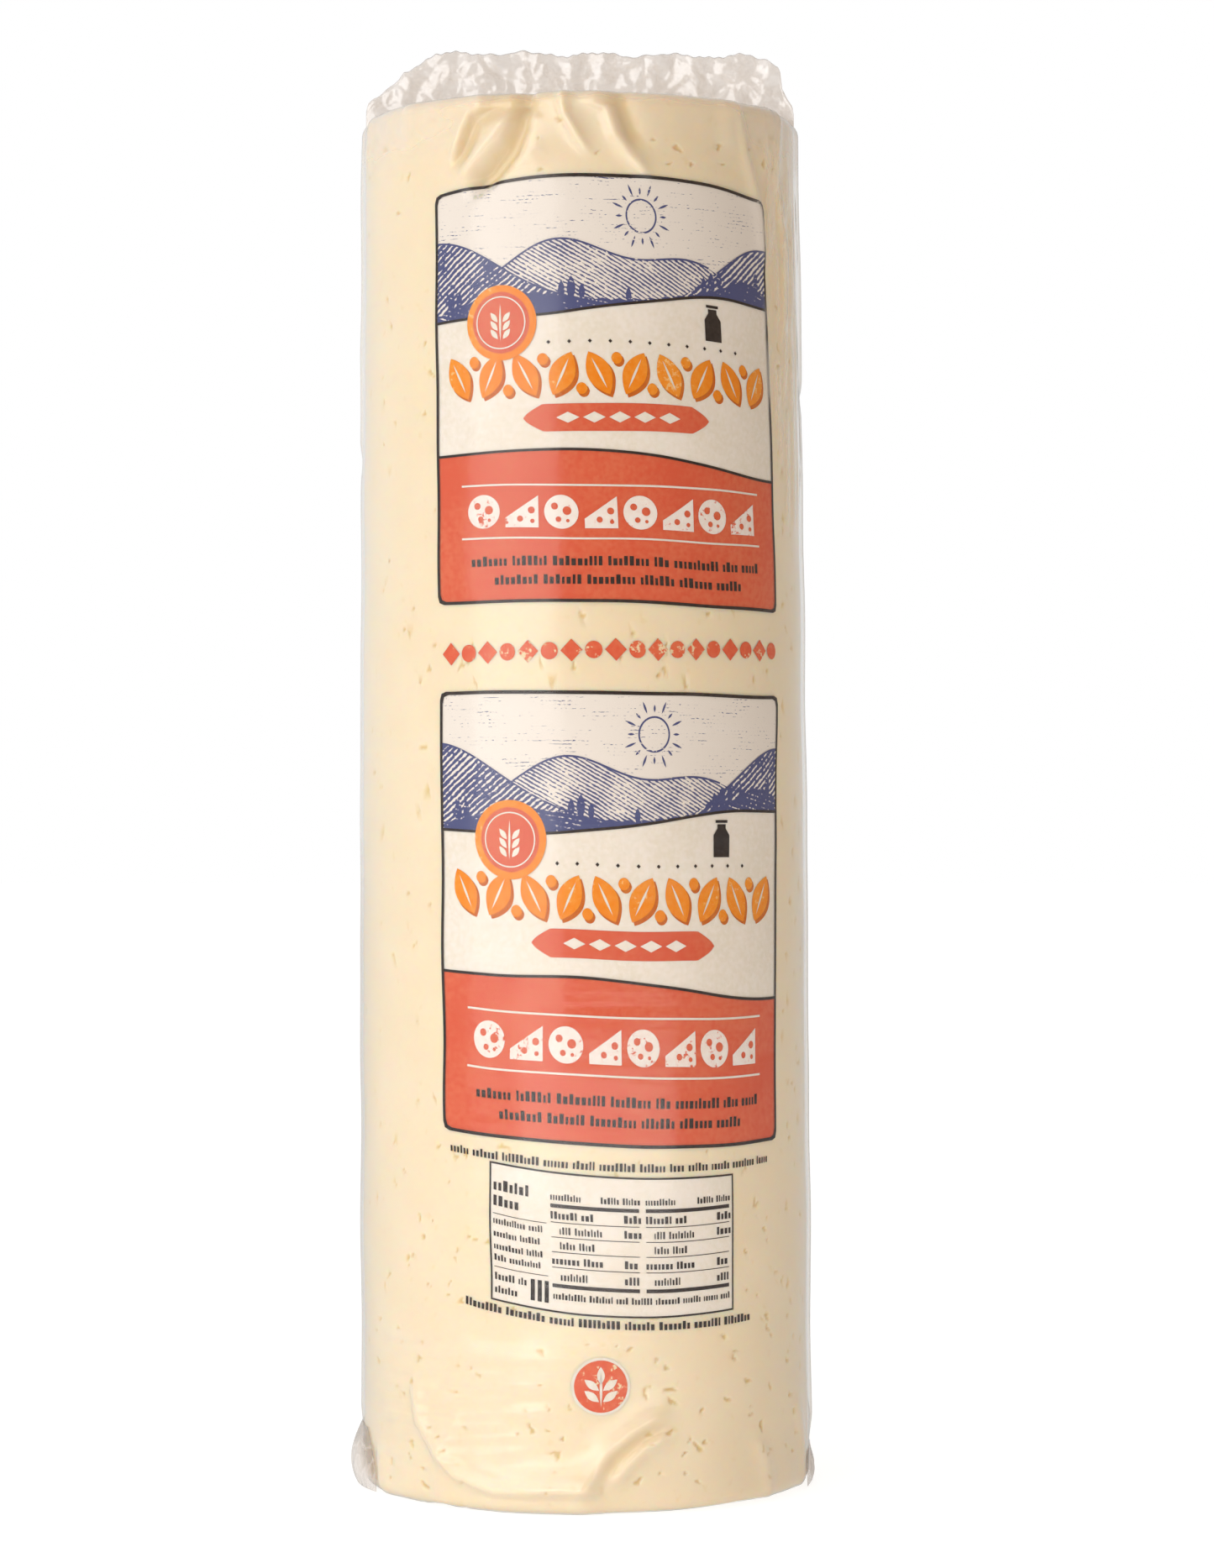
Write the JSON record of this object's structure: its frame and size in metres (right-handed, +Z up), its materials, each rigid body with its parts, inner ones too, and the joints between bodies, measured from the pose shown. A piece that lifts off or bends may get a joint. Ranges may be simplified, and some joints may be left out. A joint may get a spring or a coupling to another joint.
{
  "type": "farmer cheese log",
  "caption": "Tall round log of pale farmer cheese sealed in clear printed film, with a ruffled film seal standing across its head.",
  "frame": {"origin": "middle of the flat end that the log stands on, on the surface it stands on", "axes": "+Z up along the log; -Y towards the printed side; the ruffled seal at the head runs along X"},
  "size_m": [0.1092, 0.1064, 0.3332],
  "materials": {
    "cheese_log": "pale cream cheese seen through clear film that is drawn tight and shines softly",
    "film": "crinkled clear film in two layers, milky with small bright glints"
  },
  "bodies": {
    "root": {"cheese_log": "cheese_log", "film_fin": "film", "film_ear_left": "film", "film_ear_right": "film"}
  },
  "joints": []
}
